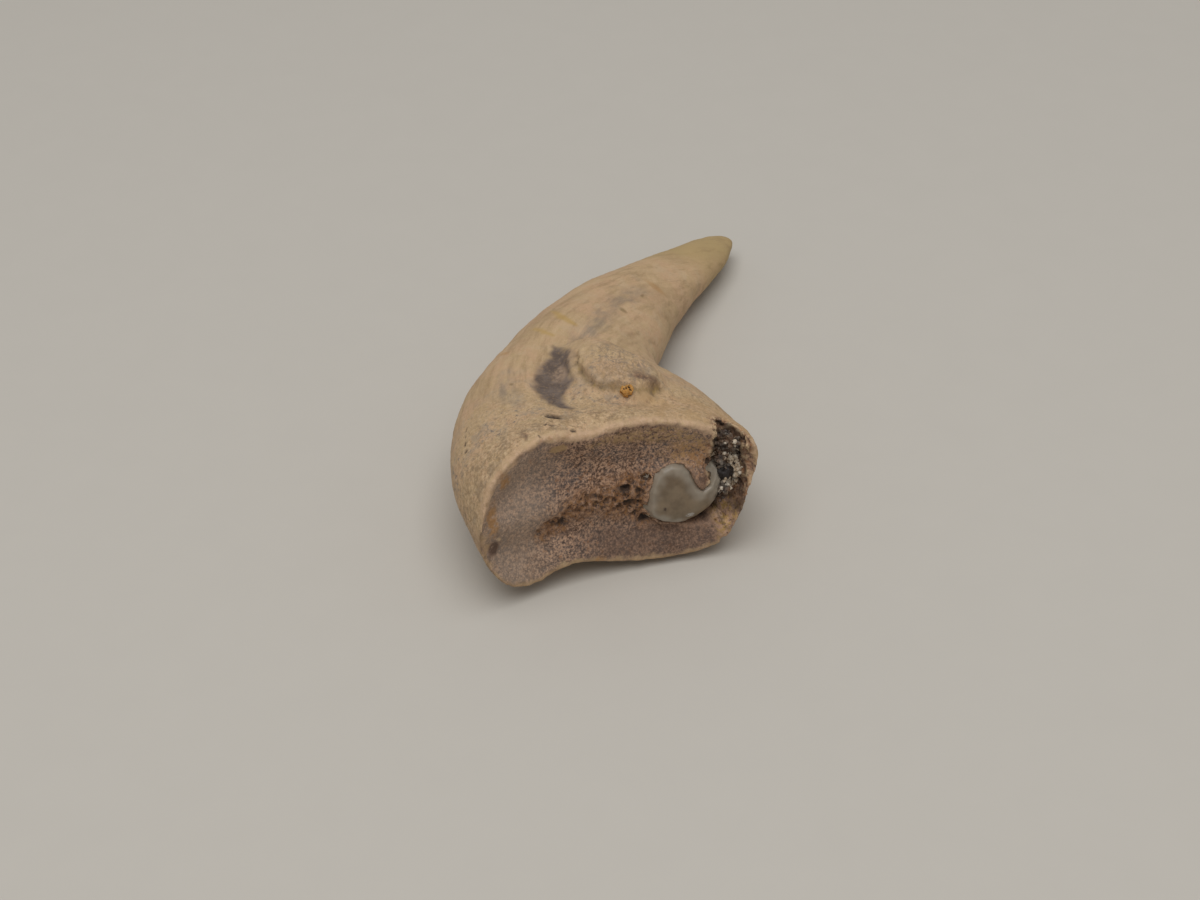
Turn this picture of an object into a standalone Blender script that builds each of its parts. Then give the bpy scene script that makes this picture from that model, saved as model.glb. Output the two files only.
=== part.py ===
"""A small dinosaur's fossil hand claw, a theropod's ungual bone, lying on its side.

The bone is shaped in its own anatomical frame, in millimetres: x runs from the joint face to the tip,
y towards the outer (dorsal) edge, and z from one flank to the other. Its sections follow the dorsal and
ventral edges. It is then laid down on the two spots of its lower flank that carry it, worn flat.

Four pieces: the bone, a clear pebble of quartz lodged in the joint face, the crust of calcite crystals
in the broken corner of the flexor tubercle, and a crumb of ochre under the boss of the upper flank.
"""

import math

import bmesh
import bpy
import numpy as np
from mathutils import Matrix, Vector, noise

MM = 0.001

# Sections from the joint face to the tip: dorsal edge (x, y), ventral edge (x, y) and half width.
SECTIONS = (
    ((0.2, 8.75), (0.2, -8.6), 5.2),
    ((2.4, 8.95), (2.4, -9.1), 5.3),
    ((5.6, 8.9), (5.8, -9.3), 4.85),
    ((9.7, 8.1), (9.8, -8.6), 4.5),
    ((13.7, 6.3), (13.2, -7.0), 4.25),
    ((18.1, 3.1), (16.5, -7.3), 3.95),
    ((22.4, -0.6), (19.3, -8.9), 3.45),
    ((26.0, -4.6), (22.5, -10.8), 2.85),
    ((28.7, -8.6), (25.4, -13.0), 2.2),
    ((31.1, -12.3), (27.8, -15.1), 1.6),
    ((32.8, -15.2), (29.9, -16.8), 1.05),
    ((33.5, -17.2), (31.5, -17.7), 0.55),
    ((33.3, -17.9), (32.4, -18.2), 0.28),
)
TIP = (32.95, -18.3)
RING_COUNT = 50
RING_POINTS = 60
RING_CROWDING = 1.35
SQUARENESS = 2.1
VENTRAL_NARROWING = 0.1

# The joint end's outline seen end-on, (y, z), from the dorsal lip round by the upper flank.
JOINT_OUTLINE = (
    (8.75, -0.5),
    (8.3, 1.9),
    (7.1, 3.8),
    (5.3, 5.0),
    (3.6, 5.2),
    (1.7, 4.75),
    (-0.3, 5.2),
    (-2.4, 5.2),
    (-4.5, 4.7),
    (-6.5, 4.0),
    (-8.5, 3.1),
    (-8.7, 1.3),
    (-8.2, -0.8),
    (-7.7, -2.4),
    (-6.8, -4.0),
    (-4.9, -4.65),
    (-3.0, -4.85),
    (-1.0, -4.7),
    (1.0, -4.3),
    (3.0, -4.1),
    (4.8, -4.7),
    (6.5, -4.6),
    (8.0, -3.1),
)
JOINT_BLEND = 2.2
DORSAL_OVERHANG = 0.9
VENTRAL_OVERHANG = 0.1
SIDE_SETBACK = 0.75
DISH_DEPTH = 0.95
KEEL_HEIGHT = 0.8
KEEL_SPREAD = 1.5
RIM_WIDTH = 0.16
CAP_COLUMNS = 16

# The boss on each flank, a blunt knob with a steep end towards the joint.
BOSS_CENTRE = (8.2, -2.3)
BOSS_TURN = math.radians(12)
BOSS_NEAR = 3.8
BOSS_FAR = 6.0
BOSS_SIDE = 2.6
BOSS_HEIGHTS = {1: 1.3, -1: 0.25}

# The groove that carried the claw's vessels, one along each flank.
GROOVE = ((3.4, 0.9), (5.6, 1.9), (8.4, 1.9), (11.9, 0.5), (16.5, -3.2), (20.4, -6.6), (28.5, -13.4))
GROOVE_WIDTH = 1.25
GROOVE_DEPTH = 0.5
HOLLOW_CENTRE = (4.6, -2.4)
HOLLOW_RADIUS = 2.2
HOLLOW_DEPTH = 0.5
UNEVENNESS = 0.15
WANDER_SHIFTS = ((0.0, 0.0, 0.0), (31.7, 11.3, 5.9), (7.1, 43.9, 23.3))
UNEVENNESS_SCALE = 0.17

PEBBLE_CENTRE = (1.55, -4.25, -0.25)
PEBBLE_RADII = (1.35, 2.5, 2.15)
PEBBLE_BLUNTNESS = 0.8
PEBBLE_TURN = math.radians(-20)
PEBBLE_GAP = 0.1

PIT_CENTRE = (0.3, -7.1, 1.3)
PIT_RADII = (2.3, 1.0, 4.1)
PIT_ROUGHNESS = 0.22

CRUST_CENTRE = (2.2, -7.3, 0.9)
CRUST_RADII = (0.8, 1.1, 2.1)
CRUST_GAP = 0.06
CRYSTAL_COUNT = 12
CRYSTAL_RADIUS = 0.28
CRYSTAL_LENGTH = 1.5

CRUMB_PLACE = (4.9, -1.95)
CRUMB_RADII = (0.5, 0.72, 0.5)
CRUMB_LIFT = 0.15
CRUMB_GAP = (-0.05, 0.0, 0.05)

YAW = math.radians(38)
FIRST_TIP = math.radians(6)
LAST_TIP = math.radians(0.002)
TIP_DIRECTIONS = 36
FLAT_CUT = 0.05
MERGE_DISTANCE = 0.002


def through(points, position):
    """The point at a position, counted in points, on the smooth curve through the points."""
    index = min(int(position), len(points) - 2)
    local = position - index
    last = len(points) - 1
    a, b, c, d = (Vector(points[min(max(i, 0), last)]) for i in range(index - 1, index + 3))
    return 0.5 * (
        2 * b
        + (c - a) * local
        + (2 * a - 5 * b + 4 * c - d) * local**2
        + (3 * b - 3 * c + d - a) * local**3
    )


def around(points, share):
    """The point at a share of the way round the smooth closed curve through the points."""
    closed = points[-1:] + points + points[:2]
    return through(closed, 1 + (share % 1.0) * len(points))


def wander(place):
    """A smooth random vector that belongs to a place."""
    return Vector(noise.noise(place + Vector(shift)) for shift in WANDER_SHIFTS)


def smooth_step(low, high, value):
    share = min(max((value - low) / (high - low), 0.0), 1.0)
    return share * share * (3 - 2 * share)


def section_at(position):
    """The dorsal edge, ventral edge and half width of the section at a position along the claw."""
    dorsal = through([section[0] for section in SECTIONS], position)
    ventral = through([section[1] for section in SECTIONS], position)
    width = through([(section[2], 0.0) for section in SECTIONS], position)[0]
    return dorsal, ventral, width


def joint_shape(share):
    """A point of the joint end's outline, scaled to run from -1 to 1 both ways."""
    dorsal, ventral, width = section_at(0)
    point = around(JOINT_OUTLINE, share)
    middle = (dorsal.y + ventral.y) / 2
    return (point.x - middle) / ((dorsal.y - ventral.y) / 2), point.y / width


def shaft_shape(share):
    """A point of the shaft's rounded section, scaled to run from -1 to 1 both ways."""
    angle = 2 * math.pi * share
    power = 2 / SQUARENESS
    height = math.copysign(abs(math.cos(angle)) ** power, math.cos(angle))
    side = math.copysign(abs(math.sin(angle)) ** power, math.sin(angle))
    return height, side * (1 + VENTRAL_NARROWING * height)


def rim_setback(y):
    """How far the joint face's rim stands back from its lips, at a height on the face."""
    overhang = DORSAL_OVERHANG if y > 0 else VENTRAL_OVERHANG
    return SIDE_SETBACK - (SIDE_SETBACK + overhang) * (y / 8.8) ** 2


def boss_relief(x, y):
    """The boss's height above the flank, as a share of its full height."""
    offset = Matrix.Rotation(-BOSS_TURN, 2) @ Vector((x - BOSS_CENTRE[0], y - BOSS_CENTRE[1]))
    reach = BOSS_NEAR if offset.x < 0 else BOSS_FAR
    radius = math.hypot(offset.x / reach, offset.y / BOSS_SIDE)
    steepness = 6 if offset.x < 0 else 2.5
    return max(1 - radius**steepness, 0.0) ** 0.7


def groove_relief(x, y):
    """The depth of the vessel groove, which is deepest beside the boss."""
    depth = 0.0
    steps = 60
    for step in range(steps + 1):
        centre = through(GROOVE, step / steps * (len(GROOVE) - 1))
        distance = math.hypot(x - centre.x, y - centre.y)
        fade = smooth_step(0, 0.2, step / steps) * (1 - 0.6 * smooth_step(0.35, 1, step / steps))
        depth = max(depth, fade * math.exp(-((distance / GROOVE_WIDTH) ** 2)))
    return GROOVE_DEPTH * depth


def hollow_relief(x, y):
    """The depth of the shallow hollow between the boss and the joint's rim."""
    distance = math.hypot(x - HOLLOW_CENTRE[0], y - HOLLOW_CENTRE[1])
    return HOLLOW_DEPTH * math.exp(-((distance / HOLLOW_RADIUS) ** 2))


def add_relief(point, side):
    """Raise and sink a flank point by the claw's bumps and grooves, which fade out at its edges."""
    flank = smooth_step(0.45, 0.85, abs(side))
    flank_sign = 1 if side > 0 else -1
    relief = BOSS_HEIGHTS[flank_sign] * boss_relief(point.x, point.y)
    relief -= groove_relief(point.x, point.y) + hollow_relief(point.x, point.y)
    point.z += flank_sign * relief * flank
    return point + UNEVENNESS * wander(point * UNEVENNESS_SCALE)


def ring_points(position):
    """One ring of the bone's skin, from the dorsal edge round by the upper flank."""
    dorsal, ventral, width = section_at(position)
    middle = (dorsal + ventral) / 2
    reach = (dorsal - ventral) / 2
    joint_share = 1 - smooth_step(0, JOINT_BLEND, position)
    points = []
    for index in range(RING_POINTS):
        share = index / RING_POINTS
        height, side = Vector(shaft_shape(share)).lerp(Vector(joint_shape(share)), joint_share)
        edge = middle + reach * height
        point = Vector((edge.x + rim_setback(edge.y) * joint_share**2, edge.y, width * side))
        points.append(add_relief(point, side))
    return points


def face_point(low, high, share):
    """A point of the dished joint face, between two points of its rim; a keel runs down its middle."""
    point = low.lerp(high, share)
    inset = min(share, 1 - share) * 2
    point.x += DISH_DEPTH * smooth_step(0, 0.7, inset)
    point.x -= KEEL_HEIGHT * math.exp(-((point.z / KEEL_SPREAD) ** 2)) * smooth_step(0, RIM_WIDTH, inset)
    return point


def add_ring_faces(work, ring, following):
    for index in range(len(ring)):
        after = (index + 1) % len(ring)
        work.faces.new((ring[index], following[index], following[after], ring[after]))


def add_joint_face(work, rim):
    """Close the joint end with rows of faces from one flank to the other."""
    half = RING_POINTS // 2
    rows = []
    for index in range(1, half):
        high, low = rim[index], rim[RING_POINTS - index]
        row = [low]
        for column in range(1, CAP_COLUMNS):
            row.append(work.verts.new(face_point(low.co, high.co, column / CAP_COLUMNS)))
        rows.append(row + [high])
    for row, following in zip(rows, rows[1:]):
        for column in range(CAP_COLUMNS):
            work.faces.new((row[column], row[column + 1], following[column + 1], following[column]))
    for column in range(CAP_COLUMNS):
        work.faces.new((rows[0][column + 1], rows[0][column], rim[0]))
        work.faces.new((rows[-1][column], rows[-1][column + 1], rim[half]))


def finish_mesh(work, name, color, roughness, transmission=0.0):
    """Turn a work mesh into an object with its own material, smooth but for its sharp edges."""
    bmesh.ops.recalc_face_normals(work, faces=work.faces)
    mesh = bpy.data.meshes.new(name)
    work.to_mesh(mesh)
    work.free()
    mesh.shade_smooth()
    mesh.set_sharp_from_angle(angle=math.radians(40))
    material = bpy.data.materials.new(name)
    material.use_nodes = True
    shader = material.node_tree.nodes["Principled BSDF"]
    shader.inputs["Base Color"].default_value = (*color, 1.0)
    shader.inputs["Roughness"].default_value = roughness
    shader.inputs["Transmission Weight"].default_value = transmission
    mesh.materials.append(material)
    part = bpy.data.objects.new(name, mesh)
    bpy.context.collection.objects.link(part)
    return part


def make_bone():
    """The claw's skin: rings from the joint to the tip, closed by the joint face and the tip."""
    work = bmesh.new()
    last = len(SECTIONS) - 1
    rings = []
    for index in range(RING_COUNT):
        position = last * (index / (RING_COUNT - 1)) ** RING_CROWDING
        rings.append([work.verts.new(point) for point in ring_points(position)])
    for ring, following in zip(rings, rings[1:]):
        add_ring_faces(work, ring, following)
    add_joint_face(work, rings[0])
    tip = work.verts.new((*TIP, 0.0))
    for index in range(RING_POINTS):
        work.faces.new((rings[-1][index], tip, rings[-1][(index + 1) % RING_POINTS]))
    bmesh.ops.triangulate(work, faces=work.faces)
    return finish_mesh(work, "claw", (0.42, 0.31, 0.21), 0.7)


def make_pebble(name, gap):
    """The pebble, a blunt egg of three unequal widths, flatter where it shows; or its wider socket."""
    work = bmesh.new()
    bmesh.ops.create_icosphere(work, subdivisions=3, radius=1.0)
    turn = Matrix.Rotation(PEBBLE_TURN, 3, "X")
    radii = Vector(radius + gap for radius in PEBBLE_RADII)
    for vertex in work.verts:
        blunt = Vector(math.copysign(abs(part) ** PEBBLE_BLUNTNESS, part) for part in vertex.co)
        blunt.z *= 1 + 0.12 * blunt.y
        vertex.co = turn @ (blunt * radii) + Vector(PEBBLE_CENTRE)
    return finish_mesh(work, name, (0.35, 0.36, 0.28), 0.15, transmission=0.6)


def make_pit(name, gap):
    """The hollow of the broken corner, a ragged slot behind the outer wall; or a body just inside it."""
    work = bmesh.new()
    bmesh.ops.create_icosphere(work, subdivisions=3, radius=1.0)
    radii = Vector(radius - gap for radius in PIT_RADII)
    for vertex in work.verts:
        rough = 1 + PIT_ROUGHNESS * noise.noise(vertex.co * 2.6 + Vector((3.0, 1.0, 7.0)))
        vertex.co = vertex.co * radii * rough + Vector(PIT_CENTRE)
    return finish_mesh(work, name, (0.1, 0.08, 0.07), 0.9)


def add_crystal(work, place, direction, radius, length):
    """One stubby crystal: a six-sided prism with a pointed end."""
    turn = Vector((0, 0, 1)).rotation_difference(direction).to_matrix()
    rings = []
    for level, scale in ((0.0, 1.0), (0.62, 1.0), (0.97, 0.12)):
        ring = []
        for corner in range(6):
            angle = corner * math.tau / 6
            across = Vector((math.cos(angle) * radius * scale, math.sin(angle) * radius * scale, 0))
            ring.append(work.verts.new(place + turn @ (across + Vector((0, 0, level * length)))))
        rings.append(ring)
    work.faces.new(reversed(rings[0]))
    for ring, following in zip(rings, rings[1:]):
        add_ring_faces(work, ring, following)
    work.faces.new(rings[-1])


def make_crust():
    """The crystals in the broken corner: a thin bed with stubby crystals standing out of it."""
    color, roughness = (0.62, 0.6, 0.57), 0.35
    bed_work = bmesh.new()
    bmesh.ops.create_icosphere(bed_work, subdivisions=2, radius=1.0)
    for vertex in bed_work.verts:
        vertex.co = vertex.co * Vector(CRUST_RADII) + Vector(CRUST_CENTRE)
    bed = finish_mesh(bed_work, "calcite_crust", color, roughness)
    crystals = bmesh.new()
    for index in range(CRYSTAL_COUNT):
        along = (index + 0.5) / CRYSTAL_COUNT * 2 - 1
        lean = wander(Vector((index * 1.7, 4.3, 9.1)))
        place = Vector(CRUST_CENTRE) + Vector((0.0, 0.9 * lean.y, along * 0.86 * CRUST_RADII[2]))
        direction = Vector((-1.0, 1.2 * lean.y, 1.4 * lean.z)).normalized()
        size = 0.75 + 0.6 * abs(lean.x)
        add_crystal(crystals, place, direction, CRYSTAL_RADIUS * size, CRYSTAL_LENGTH * size)
    cluster = finish_mesh(crystals, "crystals", color, roughness)
    combine(bed, cluster, "UNION")
    combine(bed, make_pit("crust_limit", CRUST_GAP), "INTERSECT")
    combine(bed, make_pebble("crust_clearance", PEBBLE_GAP), "DIFFERENCE")
    return bed


def make_crumb(bone):
    """The crumb of ochre, a knobbly grain that sits on the upper flank against the boss."""
    work = bmesh.new()
    bmesh.ops.create_icosphere(work, subdivisions=3, radius=1.0)
    centre = Vector((*CRUMB_PLACE, flank_height(bone, *CRUMB_PLACE) + CRUMB_LIFT))
    for vertex in work.verts:
        knob = 1 + 0.22 * noise.noise(vertex.co * 2.4 + Vector((5.0, 5.0, 1.0)))
        vertex.co = vertex.co * Vector(CRUMB_RADII) * knob + centre
    return finish_mesh(work, "ochre_crumb", (0.6, 0.3, 0.07), 0.8)


def make_crumb_seat(bone):
    """A copy of the bone moved up and off the boss by the gap that the crumb keeps to both."""
    seat = bpy.data.objects.new("crumb_seat", bone.data.copy())
    bpy.context.collection.objects.link(seat)
    seat.data.transform(Matrix.Translation(CRUMB_GAP))
    return seat


def flank_height(bone, x, y):
    """The height of the bone's upper flank over a point of the claw's middle plane."""
    hit, place, *_ = bone.ray_cast(Vector((x, y, 20.0)), Vector((0, 0, -1)))
    return place.z


def hide_guide(guide):
    guide.hide_render = True
    guide.display_type = "WIRE"


def combine(part, guide, operation):
    """Cut a part with a guide, or join the guide to it."""
    change = part.modifiers.new(guide.name, "BOOLEAN")
    change.operation = operation
    change.use_self = operation == "UNION"
    change.object = guide
    hide_guide(guide)


def bake(part):
    """Replace a part's mesh by its shape after its modifiers, and drop the modifiers."""
    work = bmesh.new()
    work.from_object(part, bpy.context.evaluated_depsgraph_get())
    part.modifiers.clear()
    bmesh.ops.dissolve_degenerate(work, dist=MERGE_DISTANCE, edges=work.edges)
    bmesh.ops.triangulate(work, faces=work.faces)
    work.to_mesh(part.data)
    work.free()


def volume_centre(part):
    """The centre of volume of a closed mesh, summed over the tetrahedra under its triangles."""
    total = 0.0
    centre = Vector((0, 0, 0))
    for polygon in part.data.polygons:
        a, *others = (part.data.vertices[index].co for index in polygon.vertices)
        for b, c in zip(others, others[1:]):
            volume = a.dot(b.cross(c)) / 6
            total += volume
            centre += (a + b + c) / 4 * volume
    return centre / total


def resting_direction(part):
    """The way down when the claw lies on its lower flank, found by tipping it until its centre is lowest."""
    centre = volume_centre(part)
    spokes = np.array([vertex.co - centre for vertex in part.data.vertices])
    down = np.array((0.0, 0.0, -1.0))
    height = (spokes @ down).max()
    step = FIRST_TIP
    while step > LAST_TIP:
        tipped = []
        for turn in range(TIP_DIRECTIONS):
            angle = turn * math.tau / TIP_DIRECTIONS
            trial = down + step * np.array((math.cos(angle), math.sin(angle), 0.0))
            trial /= np.linalg.norm(trial)
            tipped.append(((spokes @ trial).max(), turn, trial))
        lowest = min(tipped, key=lambda entry: entry[:2])
        if lowest[0] < height:
            height, _, down = lowest
        else:
            step /= 2
    return Vector(down)


def lay_down(bone, pieces, down):
    """Turn the claw onto its lower flank, length along X, and scale it from millimetres to metres."""
    pose = Matrix.Rotation(YAW, 3, "Z") @ down.rotation_difference(Vector((0, 0, -1))).to_matrix()
    points = [pose @ vertex.co for vertex in bone.data.vertices]
    low = Vector(min(point[axis] for point in points) for axis in range(3))
    high = Vector(max(point[axis] for point in points) for axis in range(3))
    origin = Vector(((low.x + high.x) / 2, (low.y + high.y) / 2, low.z + FLAT_CUT))
    place = Matrix.Scale(MM, 4) @ Matrix.Translation(-origin) @ pose.to_4x4()
    for piece in pieces:
        piece.data.transform(place)
        piece.data.update()
    return place


def wear_flats(bone):
    """Wear the bone flat where it touches the ground."""
    work = bmesh.new()
    work.from_mesh(bone.data)
    everything = work.verts[:] + work.edges[:] + work.faces[:]
    cut = bmesh.ops.bisect_plane(
        work, geom=everything, plane_co=(0, 0, 0), plane_no=(0, 0, -1), clear_outer=True, dist=1e-8
    )
    edges = [item for item in cut["geom_cut"] if isinstance(item, bmesh.types.BMEdge)]
    bmesh.ops.contextual_create(work, geom=edges)
    bmesh.ops.triangulate(work, faces=[face for face in work.faces if len(face.verts) > 3])
    bmesh.ops.recalc_face_normals(work, faces=work.faces)
    work.to_mesh(bone.data)
    work.free()


def main():
    for leftover in list(bpy.data.objects):
        bpy.data.objects.remove(leftover, do_unlink=True)

    bone = make_bone()
    down = resting_direction(bone)
    crumb = make_crumb(bone)
    pebble = make_pebble("quartz_pebble", 0.0)
    crust = make_crust()
    combine(crumb, make_crumb_seat(bone), "DIFFERENCE")
    combine(bone, make_pebble("pebble_socket", PEBBLE_GAP), "DIFFERENCE")
    combine(bone, make_pit("broken_corner", 0.0), "DIFFERENCE")
    pieces = (bone, pebble, crust, crumb)
    for piece in pieces:
        bake(piece)
    lay_down(bone, pieces, down)
    wear_flats(bone)


if __name__ == "__main__":
    main()
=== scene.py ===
"""The looks of a small theropod's fossil hand claw, lying on its flank.

Its four pieces are the bone, the clear pebble lodged in its joint face, the crystals of its broken corner and
a crumb of ochre. Each has an operator of its own, listed in a panel with the stage. Places on the claw are
given in the claw's own frame, in millimetres: x runs from the joint face to the tip, y towards the outer edge
and z up through the upper flank.
"""

import math

import bmesh
import bpy
import numpy as np
from bpy.props import FloatProperty, FloatVectorProperty, PointerProperty
from mathutils import Euler, Matrix, Vector, kdtree, noise
from mathutils.bvhtree import BVHTree


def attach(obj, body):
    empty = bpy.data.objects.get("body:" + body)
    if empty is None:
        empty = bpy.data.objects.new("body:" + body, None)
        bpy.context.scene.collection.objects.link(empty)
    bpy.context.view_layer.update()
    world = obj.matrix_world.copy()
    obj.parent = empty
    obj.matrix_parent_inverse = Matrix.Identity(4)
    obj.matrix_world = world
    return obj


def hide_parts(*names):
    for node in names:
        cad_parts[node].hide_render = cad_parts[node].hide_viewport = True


bl_info = {
    "name": "Fossil claw",
    "version": (1, 0, 0),
    "blender": (4, 5, 0),
    "location": "3D View > Sidebar > Fossil claw",
    "description": "Models the bone, pebble, crystals and ochre of a fossil claw",
    "category": "Add Mesh",
}

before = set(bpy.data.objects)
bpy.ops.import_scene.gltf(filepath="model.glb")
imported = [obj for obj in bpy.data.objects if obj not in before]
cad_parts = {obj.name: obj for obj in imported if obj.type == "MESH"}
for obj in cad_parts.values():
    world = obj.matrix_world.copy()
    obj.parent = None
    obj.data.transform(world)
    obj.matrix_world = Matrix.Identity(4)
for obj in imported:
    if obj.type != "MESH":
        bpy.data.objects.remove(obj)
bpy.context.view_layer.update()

MM = 0.001

# The claw's own frame: where the joint's centre is and how the claw lies.
JOINT_CENTRE = (-15.459 * MM, -3.311 * MM, 5.584 * MM)
CLAW_TURN = (math.radians(3.172), math.radians(5.383), math.radians(38.149))
CLAW_PLACE = Matrix.LocRotScale(Vector(JOINT_CENTRE), Euler(CLAW_TURN), Vector((MM, MM, MM)))

# The centre (x, y) of the claw's curve and the curve's radius, which the bone's fibres follow.
CURVE_CENTRE = (3.0, -21.0)
CURVE_RADIUS = 27.0

# The joint face's rim is where the solid's edges are this sharp, this near the joint and clear of the broken
# corner and of the pebble. The joint face itself looks this much towards the joint, and ends at this x.
RIM_ANGLE = math.radians(50)
RIM_REACH = 2.4
RIM_OFF_PIT = 1.4
RIM_OFF_PEBBLE = 3.2
FACE_SLOPE = -0.45
FACE_REACH = 3.2

# The broken corner, a hollow shaped as an ellipsoid.
PIT_CENTRE = (0.3, -7.1, 1.3)
PIT_RADII = (2.3, 1.0, 4.1)
# The broken corner's thin outer wall, as stops of (y, z, half width).
OUTER_WALL = ((-9.1, 4.2, 0.0), (-9.15, 2.2, 0.0), (-8.65, -0.5, 0.0), (-7.85, -1.8, 0.0), (-7.2, -3.1, 0.0))

# The spots of white among the broken corner's crystals, as centre (y, z) and radius.
WHITE_CRYSTALS = (
    ((-7.95, 2.4), 0.2), ((-7.6, 1.45), 0.35), ((-7.95, 0.2), 0.75), ((-8.15, -0.35), 0.6),
    ((-7.45, -0.6), 0.4),
)
# The crystals' bed is drawn out by a share of how far it lies beyond this y.
PIT_MIDDLE = -7.3
BED_STRETCH = 0.3
# The crystals: their number, the ranges of their length and of their width as a share of it, how far they
# lean, and the seed of their scatter.
CRYSTAL_COUNT = 800
CRYSTAL_LENGTHS = (0.16, 0.5)
CRYSTAL_WIDTHS = (0.5, 1.1)
CRYSTAL_LEAN = 0.7
CRYSTAL_SEED = 11
NODULE_PLACE = (1.35, -7.05, 0.55)
NODULE_RADIUS = 0.52

# The pebble: its centre, how much larger than its solid it is, the x before which its front is worn and by
# what share, and the share of its length, from its inner end, that the bone fills behind it.
PEBBLE_CENTRE = (1.55, -4.25, -0.25)
PEBBLE_SWELL = 1.06
PEBBLE_FRONT = 1.3
PEBBLE_WEAR = 0.5
SOCKET_SHARE = 0.94
PEBBLE_SPECK = ((-3.1, -1.15), (0.1, 0.14))
# A painted highlight on the pebble's small pale chip, as (y, z) centre and radii.
PEBBLE_CHIP_GLINT = ((-4.76, -1.9), (0.28, 0.17))
# The part of the pebble that the bone leaves bare, as (y, z) corners.
PEBBLE_OUTLINE = (
    (-2.18, -0.74), (-2.24, 0.1), (-2.5, 0.95), (-2.95, 1.5), (-3.62, 1.75), (-4.35, 1.6), (-4.75, 1.15),
    (-5.0, 0.5), (-5.25, -0.05), (-5.6, -0.3), (-5.95, -0.05), (-6.2, 0.4), (-6.35, 1.0), (-7.2, 1.2),
    (-7.4, -1.0), (-6.8, -1.9), (-6.36, -2.45), (-5.85, -2.85), (-4.94, -2.85), (-3.91, -2.6),
    (-3.0, -2.3), (-2.37, -1.86), (-2.11, -1.31),
)

# The rough, spongy strip of the joint face, as stops of (y, z, half width), and its hollows.
KEEL_STRIP = (
    (4.8, -1.8, 0.1), (3.4, -1.0, 0.45), (1.9, -0.2, 0.8), (0.4, -0.1, 1.1), (-1.0, -0.3, 1.5),
    (-2.0, -0.5, 1.9),
)
KEEL_HOLLOWS = (
    ((-0.7, 0.45), (0.4, 0.18)), ((1.27, 0.28), (0.4, 0.15)), ((-1.2, -0.7), (0.35, 0.2)),
    ((-2.0, -2.1), (0.35, 0.15)), ((3.36, -1.37), (0.4, 0.12)), ((2.14, -0.59), (0.3, 0.12)),
    ((-1.6, 0.25), (0.2, 0.14)),
)

# Stains, painted undercut shade and specks of the joint face, as (y, z) centre and radii or stops of (y, z,
# half width).
GOLDEN_PATCH = ((-4.9, 2.4), (1.9, 1.0))
FILM_BAND = ((1.4, 3.9, 0.15), (0.2, 4.1, 0.3), (-1.8, 4.1, 0.5), (-3.6, 4.0, 0.55), (-5.0, 3.4, 0.5))
# Painted shade: thin dark lines on the joint face where its rim overhangs.
UNDERCUT_SHADES = (
    ((0.2, 4.6, 0.0), (-1.1, 4.8, 0.03), (-2.8, 4.7, 0.04), (-4.6, 4.4, 0.04), (-5.5, 3.9, 0.0)),
    ((7.9, 2.5, 0.0), (7.3, 3.3, 0.03), (6.6, 4.0, 0.03), (6, 4.35, 0.04), (5.2, 4.65, 0.04), (4.4, 4.65, 0)),
    ((8.45, 1.4, 0.0), (8.6, 0.3, 0.02), (8.6, -1.0, 0.04), (8.35, -1.9, 0.0)),
    ((8.3, -2.4, 0.0), (7.9, -3.2, 0.04), (7.4, -3.9, 0.0)),
)
TONGUE = ((-5.8, -0.2), (0.7, 1.1))
FLAKE = ((3.45, 4.15), (0.55, 0.3))
RUST_STAINS = (((7.8, 0.4), (0.4, 1.3)), ((6.9, 2.9), (0.35, 0.7)), ((0.95, -4.15), (0.35, 0.2)))
BROWN_STAIN = ((7.7, -1.7), (0.4, 0.6))
WHITE_DOT = ((7.35, -1.05), (0.12, 0.12))

# The dark stain in the vessel groove, as (x, y) corners on the upper flank, and its paler middle.
STAIN_OUTLINE = (
    (13.6, 0.4), (12.5, -0.1), (11.4, -0.1), (10.1, 0.1), (8.5, 0.5), (7.5, 0.95), (6.7, 1.6),
    (5.4, 1.75), (4.3, 1.6), (4.9, 2.15), (6.1, 2.75), (8.1, 3.1), (9.45, 2.75), (11.0, 1.95),
    (12.4, 1.0),
)
STAIN_MIDDLE = ((9.9, 1.1), (1.5, 0.55), 0.0)
# Painted shade: grey streaks along the flank's shallow grooves, as stops of (x, y, half width).
GROOVE_SHADE_STREAKS = (
    ((13.6, -0.6, 0.3), (15.6, -2.3, 0.6), (17.4, -3.8, 0.5)),
    ((17.6, -3.4, 0.1), (20.6, -6.2, 0.35), (22.8, -8.4, 0.15)),
    ((11.5, 3.9, 0.1), (9.0, 4.9, 0.5), (6.4, 4.6, 0.3)),
)
BLADE_SPOTS = (((23.5, -9.4), (0.8, 0.35), 0.6), ((14.6, 3.4), (0.5, 0.2), 0.3))
DARK_SPOTS = (
    ((19.2, -5.9), (0.35, 0.22), 0.4),
    ((9.4, 4.2), (0.18, 0.14), 0.0),
    ((21.8, -8.0), (0.3, 0.12), -0.6),
)
OCHRE_STREAKS = (
    ((18.9, -0.9, 0.15), (17.1, -1.2, 0.32), (16.3, -1.8, 0.15)),
    ((16.6, 0.9, 0.1), (15.6, 0.5, 0.25), (15.0, 0.1, 0.1)),
)

# The boss of the upper flank: its oval, the crease round its foot, its wrinkled middle, the blotches at its
# foot, its dark end and the hollow that the crumb of ochre lies in.
BOSS_CENTRE = (8.2, -2.3)
BOSS_RADII = (4.6, 2.7)
BOSS_TURN = math.radians(12)
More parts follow.
